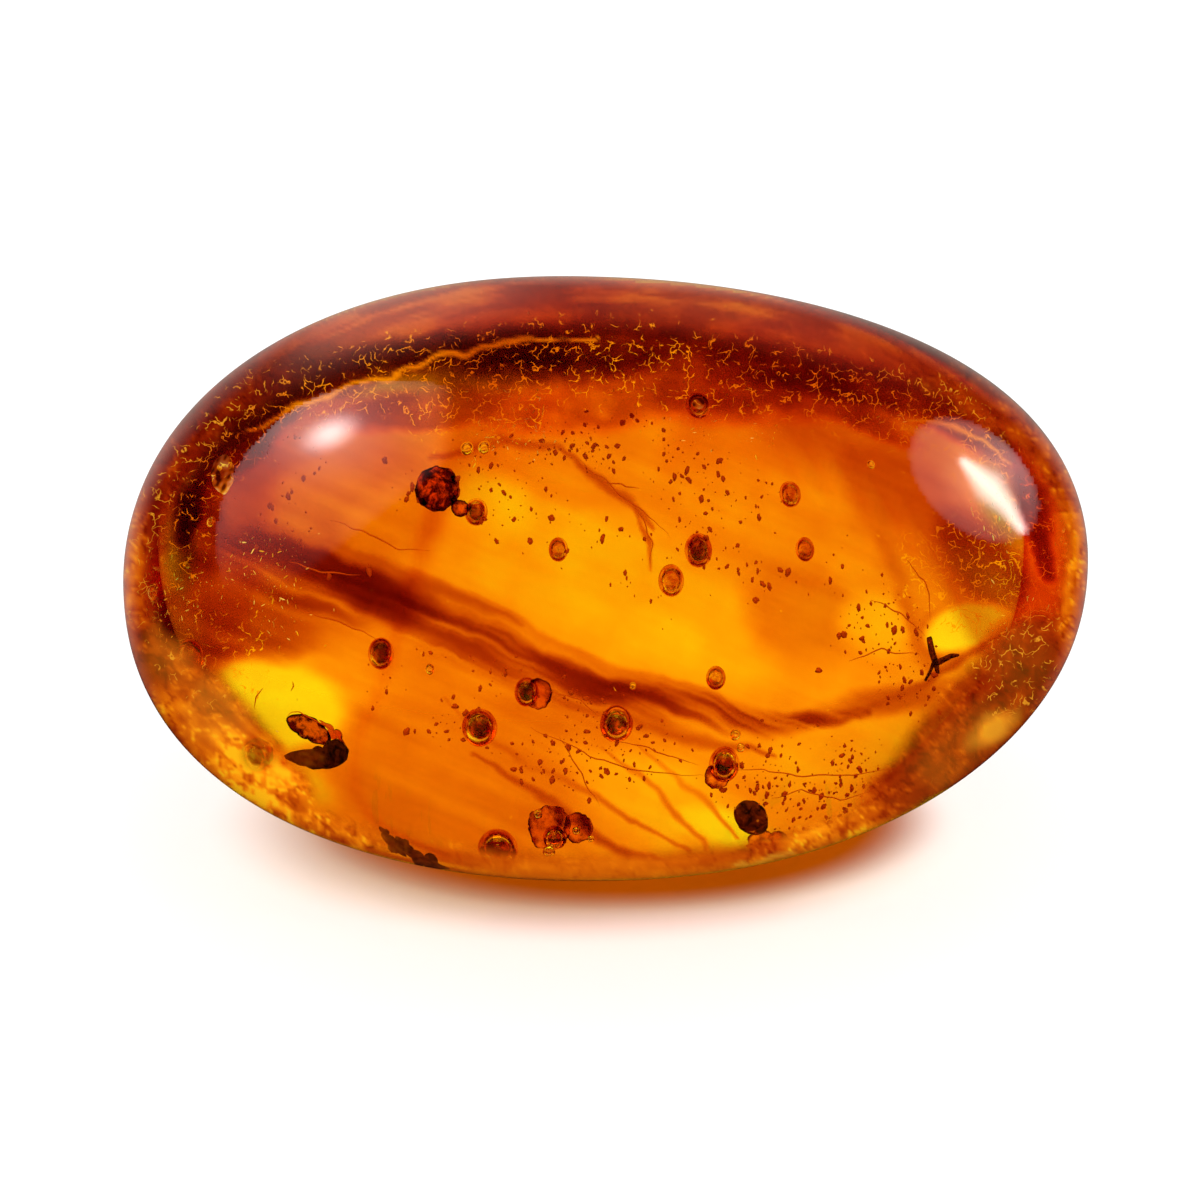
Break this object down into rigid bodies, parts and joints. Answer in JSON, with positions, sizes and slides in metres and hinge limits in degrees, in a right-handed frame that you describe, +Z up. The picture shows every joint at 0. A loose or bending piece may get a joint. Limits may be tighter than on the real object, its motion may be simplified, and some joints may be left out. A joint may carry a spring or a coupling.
{
  "type": "piece of amber",
  "caption": "Polished oval pebble of clear orange amber with a small flat under it, holding a seed husk, a leaf sprig, bark chips and bubbles.",
  "frame": {"origin": "middle of the small flat that the stone rests on, at the bottom centre of its box", "axes": "+X along the stone's length, towards the picture's right; +Y away from the picture's viewer, across the width; +Z up, the shortest way through the stone"},
  "size_m": [0.06, 0.0432, 0.035],
  "materials": {
    "amber": "polished, clear, honey to cognac",
    "dark_husk": "smooth dark seed husk",
    "brown_husk": "thin brown seed husk",
    "dry_leaf": "dull, dried plant",
    "bark": "dull, dark red brown",
    "clot": "dark red hardened resin"
  },
  "bodies": {
    "root": {"amber_front": "amber", "amber_back": "amber", "husk_lower_valve": "dark_husk", "husk_upper_valve": "brown_husk", "leaf_sprig": "dry_leaf", "bark_sliver": "bark", "bark_crumb": "bark", "resin_clot": "clot"}
  },
  "joints": []
}
